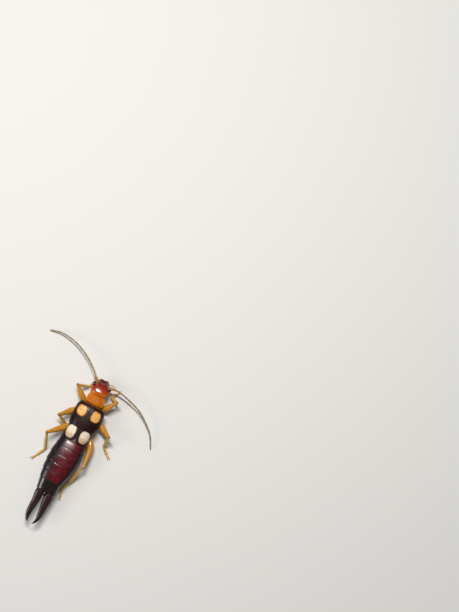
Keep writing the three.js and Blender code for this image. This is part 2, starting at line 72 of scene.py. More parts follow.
# Head, from its rear edge forward: distance, half width, top height, underside height
HEAD_REAR = -0.38
HEAD_TURN = 5 * DEG
HEAD_LENGTH = 1.13
HEAD = [
    (0, 0.6, 1.34, 0.86), (0.03, 0.68, 1.42, 0.77), (0.1, 0.74, 1.48, 0.68), (0.25, 0.79, 1.495, 0.63),
    (0.45, 0.81, 1.455, 0.61), (0.63, 0.775, 1.4, 0.61), (0.8, 0.7, 1.33, 0.63), (0.95, 0.58, 1.25, 0.66),
    (1.07, 0.44, 1.16, 0.7), (HEAD_LENGTH, 0.33, 1.09, 0.77),
]
LIP = [
    (1.0, 0.29, 1.14, 0.9), (1.08, 0.235, 1.09, 0.88), (1.18, 0.25, 1.05, 0.86), (1.27, 0.2, 0.99, 0.85),
    (1.32, 0.1, 0.95, 0.87),
]
# Points of the head: offset to the side, distance forward, height
EYE_CENTRE = (0.69, 0.76, 1.12)
EYE_RADII = (0.155, 0.195, 0.185)
JAW = [(0.41, 0.9, 0.8), (0.39, 1.09, 0.78), (0.28, 1.24, 0.76), (0.11, 1.31, 0.75)]
JAW_RADIUS = [(0, 0.1), (0.6, 0.085), (1, 0.03)]
PALPS = {
    "left": [(0.3, 0.9, 0.66), (0.46, 1.12, 0.64), (0.6, 1.26, 0.56), (0.68, 1.36, 0.44)],
    "right": [(-0.3, 0.9, 0.66), (-0.46, 1.09, 0.64), (-0.74, 1.15, 0.58), (-1.03, 1.13, 0.46)],
}
PALP_RADIUS = [(0, 0.06), (0.3, 0.055), (0.62, 0.06), (0.9, 0.05), (1, 0.035)]
PALP_JOINTS = (0.2, 0.34, 0.62, 0.82)
INNER_PALP = [(0.14, 0.95, 0.66), (0.22, 1.2, 0.64), (0.32, 1.36, 0.58)]
INNER_PALP_PALENESS = 0.84375

# Trunk: y, half width, top height, underside height
PRONOTUM = [
    (-0.3, 0.6, 1.46, 1.2), (-0.27, 0.69, 1.5, 1.18), (-0.17, 0.75, 1.54, 1.16), (0.05, 0.785, 1.58, 1.16),
    (0.3, 0.78, 1.61, 1.16), (0.46, 0.72, 1.6, 1.17), (0.57, 0.6, 1.58, 1.19), (0.62, 0.46, 1.55, 1.22),
]
PROTHORAX = [
    (-0.14, 0.44, 1.36, 0.74), (-0.04, 0.54, 1.4, 0.63), (0.22, 0.62, 1.42, 0.56), (0.55, 0.64, 1.4, 0.58),
]
NECK = [(-0.48, 0.34, 1.24, 0.86), (-0.25, 0.37, 1.29, 0.81), (-0.02, 0.4, 1.32, 0.78)]
THORAX = [
    (0.5, 0.6, 1.4, 0.66), (0.8, 0.84, 1.5, 0.58), (1.4, 0.92, 1.55, 0.55), (2.0, 0.92, 1.5, 0.56),
    (2.4, 0.86, 1.36, 0.64),
]

# Folded wings: y, half width, rise above the side edge, its height, thickness, inner and outer angle
TEGMEN = [
    (0.6, 0.98, 0.52, 1.08, 0.4, 2.4, 84), (0.68, 1.1, 0.6, 1.08, 0.42, 2.1, 90),
    (0.84, 1.19, 0.67, 1.08, 0.42, 2, 95), (1.1, 1.25, 0.73, 1.08, 0.42, 1.9, 98),
    (1.65, 1.275, 0.77, 1.08, 0.42, 1.9, 100), (2.15, 1.25, 0.78, 1.08, 0.42, 1.9, 99),
    (2.5, 1.19, 0.76, 1.08, 0.42, 2, 96), (2.68, 1.14, 0.735, 1.08, 0.42, 2.1, 92),
    (2.75, 1.05, 0.68, 1.08, 0.38, 2.2, 88),
]
SQUAMA = [
    (2.6, 1.07, 0.62, 1.17, 0.4, 2.2, 84), (3.1, 1.06, 0.625, 1.18, 0.4, 2.2, 83),
    (3.4, 1.03, 0.63, 1.18, 0.4, 2.4, 80), (3.62, 0.99, 0.63, 1.18, 0.38, 4, 70),
    (3.79, 0.95, 0.63, 1.18, 0.34, 9, 58), (3.88, 0.92, 0.625, 1.18, 0.3, 17, 46),
    (3.92, 0.9, 0.61, 1.18, 0.24, 24, 37),
]
WING_ARC_POWER = 2 / 2.25
# The pale wing spots are ovals a little squared at their corners: middle y and x, half length, half width
SPOT_POWER = 2.7
TEGMEN_SPOT = (1.3, 0.64, 0.47, 0.4)
SQUAMA_SPOT = (3.22, 0.61, 0.58, 0.4)

# Forceps: y, centre x, half width, centre height, half height
FORCEPS = {
    "left": [
        (8.6, 0.47, 0.33, 1.2, 0.25), (8.8, 0.485, 0.375, 1.19, 0.27), (9.1, 0.48, 0.375, 1.18, 0.25),
        (9.68, 0.445, 0.325, 1.16, 0.21), (10.29, 0.472, 0.285, 1.15, 0.19),
        (10.79, 0.478, 0.23, 1.15, 0.165), (11.15, 0.41, 0.16, 1.16, 0.13),
        (11.36, 0.325, 0.09, 1.18, 0.09), (11.46, 0.27, 0.04, 1.19, 0.05),
    ],
    "right": [
        (8.6, -0.37, 0.33, 1.2, 0.25), (8.8, -0.375, 0.375, 1.19, 0.27), (9.1, -0.38, 0.385, 1.18, 0.25),
        (9.71, -0.39, 0.335, 1.16, 0.21), (10.23, -0.424, 0.275, 1.15, 0.19),
        (10.6, -0.442, 0.23, 1.15, 0.165), (11.02, -0.43, 0.16, 1.16, 0.13),
        (11.34, -0.31, 0.09, 1.18, 0.09), (11.51, -0.2, 0.035, 1.19, 0.045),
    ],
}
TOOTH_PITCH = 0.115
TOOTH_DEPTH = 0.022

ANTENNAE = {
    "left": [
        (0.56, -1.17, 1.14), (0.85, -1.48, 1.2), (1.12, -1.84, 1.22), (1.5, -2.17, 1.18), (2.14, -2.62, 1.08),
        (2.94, -3.03, 0.95), (3.9, -3.35, 0.76), (5.08, -3.45, 0.48), (6.07, -3.2, 0.2),
    ],
    "right": [
        (-0.36, -1.22, 1.14), (-0.83, -1.38, 1.2), (-1.31, -1.42, 1.12), (-2.53, -1.16, 0.95),
        (-3.57, -0.79, 0.82), (-4.58, -0.12, 0.62), (-5.26, 0.53, 0.42), (-5.82, 1.48, 0.2),
    ],
}
ANTENNA_RADIUS = [(0, 0.105), (0.11, 0.1), (0.13, 0.07), (0.3, 0.07), (0.7, 0.064), (0.95, 0.055), (1, 0.042)]
# Lengths of the antennal joints: the long scape, the tiny pedicel, then the flagellum
ANTENNA_JOINTS = np.array([0.6, 0.13, 0.4, 0.27, 0.33, 0.43, 0.5, 0.54, 0.56, 0.56, 0.56, 0.52, 0.48])

# Legs: root of the coxa, start of the thigh, a point along it, knee, ankle, bend of the foot, toe
LEGS = {
    "front_left": [
        (0.26, 0.3, 0.84), (0.58, 0.6, 0.66), (1.05, 0.4, 0.78), (1.92, -0.35, 1.2), (1.06, -0.6, 0.2),
        (0.9, -0.95, 0.1), (0.72, -1.28, 0.08),
    ],
    "front_right": [
        (-0.22, 0.3, 0.84), (-0.55, 0.6, 0.66), (-0.98, 0.36, 0.78), (-1.62, -0.57, 1.25),
        (-1.02, -0.68, 0.2), (-1.18, -1.0, 0.1), (-1.38, -1.3, 0.08),
    ],
    "middle_left": [
        (0.3, 1.15, 0.84), (0.74, 1.25, 0.64), (1.37, 1.8, 0.73), (2.1, 2.53, 1.45), (1.3, 3.0, 0.2),
        (1.15, 3.42, 0.1), (0.95, 3.85, 0.08),
    ],
    "middle_right": [
        (-0.36, 1.2, 0.84), (-0.8, 1.42, 0.64), (-1.5, 1.83, 0.76), (-2.38, 2.24, 1.5), (-2.36, 3.14, 0.2),
        (-2.68, 3.46, 0.1), (-3.1, 3.8, 0.08),
    ],
    "hind_left": [
        (0.36, 2.35, 0.84), (0.72, 2.68, 0.58), (1.29, 3.3, 0.7), (2.28, 4.26, 1.5), (1.8, 5.58, 0.2),
        (2.02, 6.1, 0.1), (2.36, 6.7, 0.08),
    ],
    "hind_right": [
        (-0.4, 2.35, 0.84), (-0.8, 2.76, 0.58), (-1.44, 3.75, 0.7), (-1.7, 5.45, 1.1), (-1.26, 7.24, 0.2),
        (-1.05, 7.85, 0.1), (-1.2, 8.6, 0.08),
    ],
}
FRONT_THIGH_STOUTNESS = 0.92
COXA_RADIUS = [(0, 0.2), (0.5, 0.21), (0.85, 0.15), (1, 0.12)]
THIGH_RADIUS = [
    (0, 0.13), (0.05, 0.16), (0.09, 0.145), (0.16, 0.21), (0.32, 0.285), (0.5, 0.265), (0.72, 0.205),
    (0.93, 0.145), (1, 0.14),
]
SHIN_RADIUS = [(0, 0.115), (0.06, 0.12), (0.12, 0.1), (0.3, 0.115), (0.75, 0.13), (0.95, 0.115), (1, 0.085)]
# The middle one of the foot's three joints is short and lobed
FOOT_RADIUS = [
    (0, 0.07), (0.04, 0.085), (0.38, 0.1), (0.44, 0.08), (0.465, 0.05), (0.5, 0.085), (0.58, 0.13),
    (0.62, 0.12), (0.635, 0.05), (0.7, 0.06), (0.92, 0.085), (1, 0.065),
]
FOOT_JOINTS = (0.465, 0.635)
CLAW_RADIUS = [(0, 0.035), (0.6, 0.026), (1, 0.008)]
# A claw from the toe: distance ahead, to the side and up
CLAW = [(0, 0.03, 0), (0.12, 0.085, 0.035), (0.22, 0.11, -0.045)]

# A limb's rounded ends: angles of their rings from the limb's side
CAP = np.radians([85, 70, 52, 32, 14])
# Skins of the head and trunk are drawn about this far inside the solids
INSET = 0.01
HAIR_RADIUS = 0.004


# Curves and grids

def through(table, place):
    """Smooth values through a table's rows, by cubic pieces. The slope at a row is that of the chord from
    the row before it to the row after it."""
    rows = np.asarray(table, float)
    x, v = rows[:, 0], rows[:, 1:]
    place = np.clip(np.asarray(place, float), x[0], x[-1])
    i = np.clip(np.searchsorted(x, place, side="right") - 1, 0, len(x) - 2)
    before, after = np.maximum(i - 1, 0), np.minimum(i + 2, len(x) - 1)
    span = (x[i + 1] - x[i])[..., None]
    t = (place - x[i])[..., None] / span
    rise_in = (v[i + 1] - v[before]) / (x[i + 1] - x[before])[..., None]
    rise_out = (v[after] - v[i]) / (x[after] - x[i])[..., None]
    return (
        (2 * t**3 - 3 * t**2 + 1) * v[i] + (t**3 - 2 * t**2 + t) * span * rise_in
        + (3 * t**2 - 2 * t**3) * v[i + 1] + (t**3 - t**2) * span * rise_out
    )


def profile(table, place):
    """The same for a table of one value."""
    return through(table, place)[..., 0]


def sections(table, y):
    """A table's values at a column of places, each value as a column too."""
    return np.moveaxis(through(table, y[:, 0]), -1, 0)[..., None]


def midline(y):
    return profile(MIDLINE, y)


def bell(value, centre, width):
    """A smooth hump of height 1: e to the minus squared distance from the centre, in widths."""
    return np.exp(-(((value - centre) / width) ** 2))


def ramp(value, low, high):
    """0 below low, 1 above high, with an S-shaped rise between."""
    t = np.clip((value - low) / (high - low), 0, 1)
    return t * t * (3 - 2 * t)


def bent_power(value, power):
    return np.sign(value) * np.abs(value) ** power


def turns(count):
    """Angles once round a section, as a row."""
    return np.linspace(0, 2 * np.pi, count, endpoint=False)[None]


def quarters_from(angle, middle):
    """How far angles lie from a middle one, in quarter turns."""
    return np.abs((angle - middle + np.pi) % (2 * np.pi) - np.pi) / (np.pi / 2)


def column(*runs):
    """Places in runs of even steps, each given by its start, end and count, as a column."""
    return np.concatenate([np.linspace(*run) for run in runs])[:, None]


def space(x, y, z):
    """Points from coordinates that are spread over one grid."""
    return np.stack(np.broadcast_arrays(x, y, z), -1)


def oval(angle, width, top, bottom, power=2.3, widest=0.42):
    """A rounded body section: x is the half width times a power of the cosine. By the same power of the
    sine, z rises from the widest level to the top, or sinks to the underside."""
    level = bottom + widest * (top - bottom)
    side = bent_power(np.cos(angle), 2 / power)
    rise = bent_power(np.sin(angle), 2 / power)
    return width * side, level + rise * np.where(rise > 0, top - level, level - bottom)


def grid(points, marks=None, fan=True):
    """A patch from a grid of points: quads between rows, closed round the columns. With fan, triangles
    close each end row to its own middle."""
    rows, cols = points.shape[:2]
    left = np.arange(rows * cols).reshape(rows, cols)
    right = np.roll(left, -1, axis=1)
    quads = np.stack([left[:-1], right[:-1], right[1:], left[1:]], -1).reshape(-1, 4)
    verts = points.reshape(-1, 3)
    values = {name: np.broadcast_to(v, (rows, cols)).reshape(-1) for name, v in (marks or {}).items()}
    tris = np.zeros((0, 3), int)
    for row, ring, ahead in ((0, right[0], left[0]), (-1, left[-1], right[-1])) if fan else ():
        middle = np.full(cols, len(verts))
        tris = np.vstack([tris, np.stack([middle, ring, ahead], -1)])
        verts = np.vstack([verts, points[row].mean(axis=0)])
        values = {name: np.append(v, v[ring].mean()) for name, v in values.items()}
    return dict(verts=verts, quads=quads, tris=tris, marks=values)


def plate(outer, inner, marks):
    """A thin closed plate from the grids of its outer and inner face. A seam row halfway between the two
    faces zips each end shut."""
    points = np.concatenate([outer, inner[:, ::-1]], axis=1)
    seam = (points + points[:, ::-1]) / 2
    wide = {}
    for name, value in marks.items():
        full = np.broadcast_to(value, points.shape[:2])
        wide[name] = np.concatenate([full[:1], full, full[-1:]])
    return grid(np.concatenate([seam[:1], points, seam[-1:]]), wide, fan=False)


def both_faces(value, shape):
    """A mark of a plate's outer face, laid over its inner face too."""
    full = np.broadcast_to(value, shape)
    return np.concatenate([full, full[:, ::-1]], axis=1)


def volume(patch):
    v = patch["verts"]
    q, t = patch["quads"], patch["tris"]
    faces = np.vstack([q[:, [0, 1, 2]], q[:, [0, 2, 3]], t])
    a, b, c = v[faces[:, 0]], v[faces[:, 1]], v[faces[:, 2]]
    return float(np.einsum("ij,ij->i", a, np.cross(b, c)).sum() / 6)


def outward(patch):
    """The same patch with its faces turned out, told by the sign of its volume."""
    if volume(patch) < 0:
        patch["quads"] = patch["quads"][:, ::-1]
        patch["tris"] = patch["tris"][:, ::-1]
    return patch


def joined(patches):
    """Patches laid end to end as one, each with its own finish number."""
    names = sorted({name for p in patches for name in p["marks"]})
    start = np.cumsum([0] + [len(p["verts"]) for p in patches[:-1]])
    return dict(
        verts=np.vstack([p["verts"] for p in patches]),
        quads=np.vstack([p["quads"] + s for p, s in zip(patches, start)]),
        tris=np.vstack([p["tris"] + s for p, s in zip(patches, start)]),
        finish=np.concatenate([
            np.full(len(p[kind]), p.get("finish", 0)) for kind in ("quads", "tris") for p in patches
        ]),
        marks={
            n: np.concatenate([p["marks"].get(n, np.zeros(len(p["verts"]))) for p in patches]) for n in names
        },
    )


def piece(name, patches, finishes, nodes):
    """A Blender object from patches measured in mm, riding on the body and standing for its nodes."""
    whole = joined([outward(p) for p in patches])
    verts = (whole["verts"] + FRAME_SHIFT) * MM
    # Soles and hairs lie flat where they meet the floor
    verts[:, 2] = np.maximum(verts[:, 2], 0)
    quads, tris = whole["quads"], whole["tris"]
    mesh = bpy.data.meshes.new(name)
    mesh.vertices.add(len(verts))
    mesh.vertices.foreach_set("co", verts.ravel())
    mesh.loops.add(quads.size + tris.size)
    mesh.loops.foreach_set("vertex_index", np.concatenate([quads.ravel(), tris.ravel()]).astype(np.int32))
    sizes = np.concatenate([np.full(len(quads), 4), np.full(len(tris), 3)])
    mesh.polygons.add(len(sizes))
    mesh.polygons.foreach_set("loop_start", (np.cumsum(sizes) - sizes).astype(np.int32))
    mesh.polygons.foreach_set("material_index", whole["finish"].astype(np.int32))
    mesh.polygons.foreach_set("use_smooth", np.ones(len(sizes), bool))
    for mark_name, values in whole["marks"].items():
        mesh.attributes.new(mark_name, "FLOAT", "POINT").data.foreach_set("value", values.astype(np.float32))
    mesh.update(calc_edges=True)
    mesh.validate()
    for material in finishes:
        mesh.materials.append(material)
    obj = bpy.data.objects.new(name, mesh)
    bpy.context.scene.collection.objects.link(obj)
    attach(obj, "root")
    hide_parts(*nodes)


def path_points(knots, share):
    """Points on a smooth curve through knots, by share of its length, and its unit tangents."""
    knots = np.asarray(knots, float)
    chord = np.concatenate([[0], np.cumsum(np.linalg.norm(np.diff(knots, axis=0), axis=1))])
    table = np.column_stack([chord, knots])
    fine = np.linspace(0, chord[-1], 800)
    curve = through(table, fine)
    run = np.concatenate([[0], np.cumsum(np.linalg.norm(np.diff(curve, axis=0), axis=1))])
    place = np.interp(np.asarray(share) * run[-1], run, fine)
    step = chord[-1] * 1e-3
    tangent = through(table, np.minimum(place + step, chord[-1]))
    tangent = tangent - through(table, np.maximum(place - step, 0))
    return through(table, place), tangent / np.linalg.norm(tangent, axis=1)[:, None]


def capped(values):
    """Values by place on a limb, with the end ones repeated over its round ends."""
    return np.concatenate([np.repeat(values[:1], len(CAP), 0), values, np.repeat(values[-1:], len(CAP), 0)])


def tube(knots, share, radius, cols, marks, flat=1.0):
    """A limb with round ends: a ring of points round each place on a path, with a radius by place and its
    height squeezed by flat. Gives the patch and its points."""
    centre, tangent = path_points(knots, share)
    side = np.cross(tangent, (0.0, 0.0, 1.0))
    side /= np.linalg.norm(side, axis=1)[:, None]
    up = np.cross(side, tangent)
    before = centre[:1] - tangent[:1] * (np.sin(CAP) * radius[0])[:, None]
    after = centre[-1:] + tangent[-1:] * (np.sin(CAP[::-1]) * radius[-1])[:, None]
    centre = np.vstack([before, centre, after])[:, None]
    side, up = capped(side)[:, None], capped(up)[:, None]
    r = np.concatenate([np.cos(CAP) * radius[0], radius, np.cos(CAP[::-1]) * radius[-1]])[:, None, None]
    a = turns(cols)[..., None]
    points = centre + side * (np.cos(a) * r) + up * (np.sin(a) * (r * flat))
    values = {name: capped(np.broadcast_to(v, (len(share),)))[:, None] for name, v in marks.items()}
    return grid(points, values), points


def ellipsoid(centre, radii, rows, cols):
    """A ball stretched along the three axes, from latitude and longitude."""
    lat = np.linspace(-np.pi / 2, np.pi / 2, rows + 2)[1:-1, None]
    lon = turns(cols)
    points = space(np.cos(lat) * np.cos(lon), np.cos(lat) * np.sin(lon), np.sin(lat))
    return grid(points * np.asarray(radii) + np.asarray(centre))


def bristles(points, count, length, lean, radius=HAIR_RADIUS, rows=None):
    """Fine hairs on a grid surface, in the piece's second finish. Each is a bent three-sided cone rooted at
    a random grid point, leaning by lean from the outward direction towards the grid's next row."""
    low, high = rows or (6, len(points) - 7)
    i = DRAW.integers(low, high, count)
    j = DRAW.integers(0, points.shape[1], count)
    root = points[i, j]
    along = points[np.minimum(i + 1, len(points) - 1), j] - root
    along /= np.linalg.norm(along, axis=1)[:, None] + 1e-9
    out = root - points[i].mean(axis=1)
    out -= along * np.einsum("ij,ij->i", out, along)[:, None]
    out /= np.linalg.norm(out, axis=1)[:, None] + 1e-9
    across = np.cross(out, along)
    size = (length * DRAW.uniform(0.6, 1.2, count))[:, None]
    spread = DRAW.normal(0, 0.15, (count, 1)) * across
    first = out * (1 - lean) + along * lean + spread
    second = out * (1 - lean) * 0.5 + along * (lean + 0.35) + spread
    first /= np.linalg.norm(first, axis=1)[:, None]
    second /= np.linalg.norm(second, axis=1)[:, None]
    foot = root - out * 0.01
    middle = root + first * size * 0.5
    tip = middle + second * size * 0.5
    a = (np.array([0, 2, 4]) * np.pi / 3)[None, :, None]
    ring = (across[:, None] * np.cos(a) + along[:, None] * np.sin(a)) * radius
    verts = np.concatenate([foot[:, None] + ring, middle[:, None] + ring * 0.7, tip[:, None]], axis=1)
    base = (np.arange(count) * verts.shape[1])[:, None, None]
    quads = base + np.array([[0, 1, 4, 3], [1, 2, 5, 4], [2, 0, 3, 5]])
    tris = base + np.array([[3, 4, 6], [4, 5, 6], [5, 3, 6], [0, 2, 1]])
    verts, quads, tris = verts.reshape(-1, 3), quads.reshape(-1, 4), tris.reshape(-1, 3)
    return dict(verts=verts, quads=quads, tris=tris, marks={}, finish=1)


# Materials

COAT_ROUGHNESS = 0.07
# Clear horn lets light in about this far, and red farthest
LIGHT_DEPTH_MM = 0.12
LIGHT_DEPTH_RGB = (1.0, 0.45, 0.2)


def linear(hex_text):
    """A six-digit sRGB hex colour as linear light."""
    value = np.array([int(hex_text[i:i + 2], 16) / 255 for i in (0, 2, 4)])
    value = np.where(value <= 0.04045, value / 12.92, ((value + 0.055) / 1.055) ** 2.4)
    return (*map(float, value), 1.0)


def add(tree, kind, inputs=None, **settings):
    """Adds one node, sets what it is told, and joins or sets each named input."""
    node = tree.nodes.new(kind)
    for key, value in settings.items():
        setattr(node, key, value)
    for key, value in (inputs or {}).items():
        if isinstance(value, bpy.types.NodeSocket):
            tree.links.new(value, node.inputs[key])
        else:
            node.inputs[key].default_value = value
    return node


def mix(tree, share, first, second):
    """Two colours mixed by a share, each a socket or a hex colour."""
    first, second = (linear(c) if isinstance(c, str) else c for c in (first, second))
    return add(tree, "ShaderNodeMix", {0: share, 6: first, 7: second}, data_type="RGBA").outputs[2]


def span(tree, value, low, high, to_low=0.0, to_high=1.0):
    """A value stretched from one range to another, smoothly and without passing its ends."""
    inputs = {0: value, 1: low, 2: high, 3: to_low, 4: to_high}
    return add(tree, "ShaderNodeMapRange", inputs, interpolation_type="SMOOTHSTEP").outputs[0]


def plus(tree, first, second):
    return add(tree, "ShaderNodeMath", {0: first, 1: second}, operation="ADD").outputs[0]


def mark(tree, name):
    return add(tree, "ShaderNodeAttribute", attribute_name=name, attribute_type="GEOMETRY").outputs["Fac"]


def noise(tree, size_mm, detail=3.0, stretch=None):
    """Noise whose blobs are about size_mm across on the insect."""
    where = add(tree, "ShaderNodeTexCoord").outputs["Object"]
    if stretch:
        where = add(tree, "ShaderNodeMapping", {0: where, 3: stretch}).outputs[0]
    inputs = {0: where, "Scale": 1 / (size_mm * MM), "Detail": detail}
    return add(tree, "ShaderNodeTexNoise", inputs).outputs[0]


def clouded(tree, cloud, first, second, low=0.3, high=0.7):
    """Two colours mixed by soft noise."""
    return mix(tree, span(tree, cloud, low, high), first, second)


def ragged(tree, name, cloud, by):
    """A mark moved up and down by noise, so that the colours' edges along it are ragged."""
    return plus(tree, mark(tree, name), span(tree, cloud, 0.3, 0.7, -by, by))


def finish(name, tint, rough, grain, coat=0.0, ior=1.54, pits=None, through_light=0.0):
    """A hard skin: tint gives its colour and rough is its roughness and how far noise varies it. Grain and
    pits, each a size and a depth in mm, raise a bump of that real depth."""
    material = bpy.data.materials.new(name)
    material.use_nodes = True
    tree = material.node_tree
    tree.nodes.clear()
    inputs = {0: noise(tree, grain[0], 2.0), 1: grain[1] * MM}
    height = add(tree, "ShaderNodeMath", inputs, operation="MULTIPLY").outputs[0]
    if pits:
        where = add(tree, "ShaderNodeTexCoord").outputs["Object"]
        cell = add(tree, "ShaderNodeTexVoronoi", {0: where, "Scale": 1 / (pits[0] * MM)}).outputs["Distance"]
        height = plus(tree, height, span(tree, cell, 0.05, 0.32, 0.0, pits[1] * MM))
    bump = add(tree, "ShaderNodeBump", {"Strength": 1.0, "Distance": 1.0, "Height": height}).outputs[0]
    gloss = span(tree, noise(tree, grain[0] * 9), 0.3, 0.7, rough[0] - rough[1], rough[0] + rough[1])
    inputs = {
        "Base Color": tint(tree), "Roughness": gloss, "Normal": bump, "IOR": ior,
        "Coat Weight": coat, "Coat Roughness": COAT_ROUGHNESS,
    }
    if through_light:
        inputs["Subsurface Weight"] = through_light
        inputs["Subsurface Radius"] = LIGHT_DEPTH_RGB
        inputs["Subsurface Scale"] = LIGHT_DEPTH_MM * MM
    add(tree, "ShaderNodeOutputMaterial", {0: add(tree, "ShaderNodeBsdfPrincipled", inputs).outputs[0]})
    return material


def head_tint(tree):
    """Dark red-brown in front, red over the crown, orange at the nape, with faint dark seams."""
    place = ragged(tree, "forward", noise(tree, 0.18), 0.08)
    rear = mix(tree, span(tree, place, 0.0, 0.34), "C0680A", "A63C06")
    crown = mix(tree, span(tree, place, 0.3, 0.6), rear, "8C1A06")
    whole = mix(tree, span(tree, place, 0.6, 0.98), crown, "560A04")
    return mix(tree, mark(tree, "seam"), whole, "3A0A05")


def pronotum_tint(tree):
    """Burnt orange, a little yellower at the side margins, with a brown band before the rear edge."""
    cloud = noise(tree, 0.2)
    disc = clouded(tree, cloud, "BE6806", "B05A04", 0.25, 0.8)
    whole = mix(tree, mark(tree, "margin"), disc, clouded(tree, cloud, "C87C14", "C07010"))
    whole = mix(tree, mark(tree, "hind"), whole, clouded(tree, cloud, "6E3A10", "8A5218"))
    return mix(tree, mark(tree, "seam"), whole, "8A4406")


def tegmen_tint(tree):
    """Black-brown leather, redder over the back, with a thin paler rim and one streaked orange spot, darker
    at its ragged edge."""
    ground = clouded(tree, noise(tree, 0.25), "160504", "300D05", 0.35, 0.7)
    ground = mix(tree, span(tree, mark(tree, "flank"), 0.3, 0.7), ground, "0C0303")
    place = ragged(tree, "spot", noise(tree, 0.16, 2.0), 0.05)
    streak = noise(tree, 0.09, stretch=(1.0, 0.3, 1.0))
    pale = clouded(tree, streak, "E8BC78", "DCA050", 0.35, 0.65)
    spot = mix(tree, span(tree, place, 0.06, 0.3), "C47628", pale)
    whole = mix(tree, span(tree, place, -0.04, 0.08), ground, spot)
    return mix(tree, mark(tree, "rim"), whole, "8A6A3C")


def squama_tint(tree):
    """Cream fold of the hind wing, browner to the rear, and dark brown round its ragged edge."""
    place = ragged(tree, "spot", noise(tree, 0.15, 2.0), 0.05)
    cloud = noise(tree, 0.12)
    cream = clouded(tree, cloud, "ECDECC", "DCCBB4")
    cream = mix(tree, mark(tree, "rear"), cream, clouded(tree, cloud, "CFB294", "BC9C7C"))
    return mix(tree, span(tree, place, -0.04, 0.16), "200A08", cream)


def abdomen_tint(tree):
    """Dark crimson along the back, its middle shifted to the right as a painted glow of light through the
    horn, black-brown down the sides and red-brown below. Each ring's front and lip are darkened as painted
    shade where the rings overlap."""
    cloud = noise(tree, 0.3, 4.0)
    back = clouded(tree, cloud, "46020C", "640513")
    side = clouded(tree, cloud, "12040A", "1C060E", 0.35, 0.7)
    # The crimson back is the rings' own colour; the band mark shifts it to the right as a painted glow of
    # light through the horn
    upper = mix(tree, span(tree, ragged(tree, "band", cloud, 0.08), 0.12, 0.56), back, side)
    whole = mix(tree, span(tree, mark(tree, "flank"), 1.12, 1.3), upper, "4E1A10")
    # Painted shade: each ring's front, tucked under the ring before, and its in-turned lip are darkened
    return mix(tree, span(tree, mark(tree, "front"), 0.0, 1.0), whole, "100506")


def tail_tint(tree):
    """Black with a breath of red-brown."""
    return clouded(tree, noise(tree, 0.2), "0C0405", "180607", 0.35, 0.7)


def forceps_tint(tree):
    """Dark red-brown branches, blacker to the tips and along the inner edge."""
    base = clouded(tree, noise(tree, 0.16), "1A0506", "300C07")
    return mix(tree, span(tree, mark(tree, "tip"), 0.45, 1.0), base, "100505")


def leg_tint(tree):
    """Clear amber horn, paler below the knee and browner at the joints and claws."""
    cloud = noise(tree, 0.12)
    thigh = clouded(tree, cloud, "B67818", "C88C26")
    shin = clouded(tree, cloud, "CA9834", "D8AC4C")
    return mix(tree, mark(tree, "joint"), mix(tree, mark(tree, "lower"), thigh, shin), "6E3A10")


def antenna_tint(tree):
    """Brown threads with a pale ring at each joint and an amber scape."""
    brown = clouded(tree, noise(tree, 0.1), "76603C", "967A50")
    whole = mix(tree, mark(tree, "joint"), brown, "C8AC78")
    return mix(tree, mark(tree, "scape"), whole, "A07030")


def underside_tint(tree):
    """Yellow-brown breast plates with darker seams."""
    return mix(tree, mark(tree, "seam"), clouded(tree, noise(tree, 0.2), "9A5A1C", "B4742A"), "4A2410")


def mouth_tint(tree):
    """Dark red lip and jaws, and beige palps."""
    return mix(tree, mark(tree, "palp"), "5A0C05", clouded(tree, noise(tree, 0.08), "C8A878", "DCC49C"))


def eye_tint(tree):
    """Near black facets with a red-brown depth."""
    return clouded(tree, noise(tree, 0.05, 2.0), "0C0606", "240A08")


def hair_tint(tree):
    """Golden brown."""
    return clouded(tree, noise(tree, 0.1), "8A6430", "B08A50")


# An insect's skin is hard and fine-grained. Its real pits are about 0.01 mm apart and are drawn 0.055 to
# 0.08 mm apart, so that they show.
# The head is the shiniest plate, like polished lacquer
head_skin = finish(
    "polished_red_head_cuticle", head_tint, (0.17, 0.03), (0.05, 0.0012), coat=0.5, pits=(0.06, 0.0015)
)
# The shield is waxy and hardly shines
pronotum_skin = finish(
    "orange_shield_cuticle", pronotum_tint, (0.56, 0.06), (0.05, 0.0015), ior=1.3, pits=(0.06, 0.0012)
)
# Wing leather is softer, and its close pits break its highlight up
tegmen_leather = finish(
    "black_wing_leather", tegmen_tint, (0.38, 0.06), (0.04, 0.0012), 0.03, ior=1.34, pits=(0.055, 0.0014)
)
squama_leather = finish(
    "cream_wing_leather", squama_tint, (0.38, 0.06), (0.04, 0.0015), 0.08, ior=1.33, pits=(0.07, 0.0012)
)
# The abdomen's rings are lacquered, with a broader highlight than the head's, and the tail is smoother
abdomen_skin = finish(
    "lacquered_crimson_cuticle", abdomen_tint, (0.3, 0.06), (0.05, 0.0012), 0.2, ior=1.46, pits=(0.07, 0.0013)
)
tail_skin = finish(
    "lacquered_black_cuticle", tail_tint, (0.22, 0.05), (0.05, 0.0012), coat=0.4, pits=(0.08, 0.0012)
)
# Forceps and legs are smooth horn without pits, and light goes a little way into the legs
forceps_horn = finish("dark_red_horn", forceps_tint, (0.26, 0.06), (0.05, 0.0015), coat=0.35)
leg_horn = finish("clear_amber_horn", leg_tint, (0.3, 0.06), (0.04, 0.001), coat=0.35, through_light=0.15)
# The threads of the antennae are dull, and the breast plates satin
antenna_skin = finish("brown_thread_cuticle", antenna_tint, (0.5, 0.06), (0.03, 0.001))
underside_skin = finish("yellow_brown_breast_cuticle", underside_tint, (0.42, 0.06), (0.05, 0.002), coat=0.15)
# Lip and jaws are smooth, with a weak soft shine
mouth_skin = finish("polished_jaw_cuticle", mouth_tint, (0.3, 0.05), (0.03, 0.001), ior=1.35)
# The eye's facets are 0.02 mm across, a fine mesh that dulls its shine
eye_glass = finish("dark_faceted_eye", eye_tint, (0.2, 0.04), (0.03, 0.0005), coat=0.6, pits=(0.022, -0.002))
hair_horn = finish("golden_bristle", hair_tint, (0.5, 0.05), (0.05, 0.0005))


# Head

